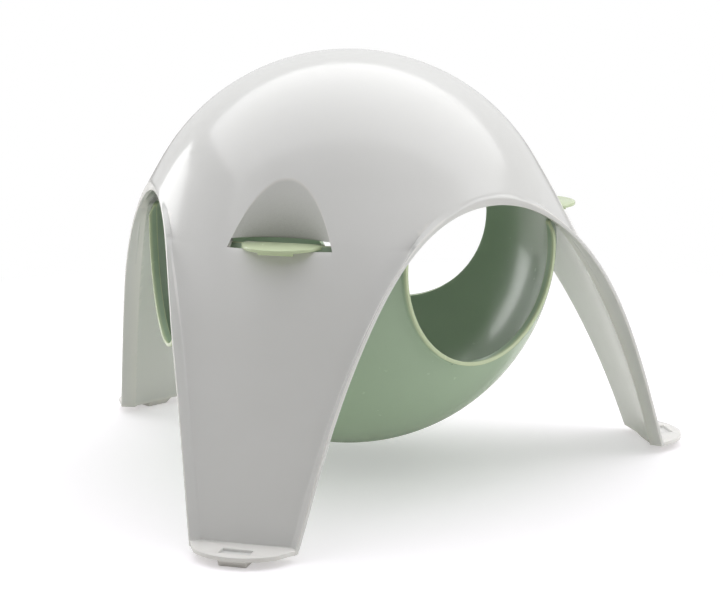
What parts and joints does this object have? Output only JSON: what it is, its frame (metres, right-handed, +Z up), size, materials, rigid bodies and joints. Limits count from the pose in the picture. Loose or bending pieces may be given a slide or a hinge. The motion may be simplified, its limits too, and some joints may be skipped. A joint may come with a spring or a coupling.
{
  "type": "small animal hideout",
  "caption": "Glossy white dome on legs with a sage-green bowl hung inside it on tongues through slots, a hideout for small pets.",
  "frame": {"origin": "on the dome's vertical axis, on the surface that the three foot pads stand on", "axes": "+Z up along the dome's axis; one leg points along -Y, so an entrance faces +Y; +X to the right when that leg faces the viewer"},
  "size_m": [0.3594, 0.3189, 0.2394],
  "materials": {
    "dome_white": "glossy moulded plastic",
    "bowl_green": "glossy moulded plastic"
  },
  "bodies": {
    "dome": {"dome": "dome_white"},
    "bowl": {"bowl": "bowl_green"}
  },
  "joints": [
    {"name": "bowl_lift", "type": "slide", "parent": "dome", "child": "bowl", "axis": [0, 0, 1], "range_m": [0, 0.0022]}
  ]
}
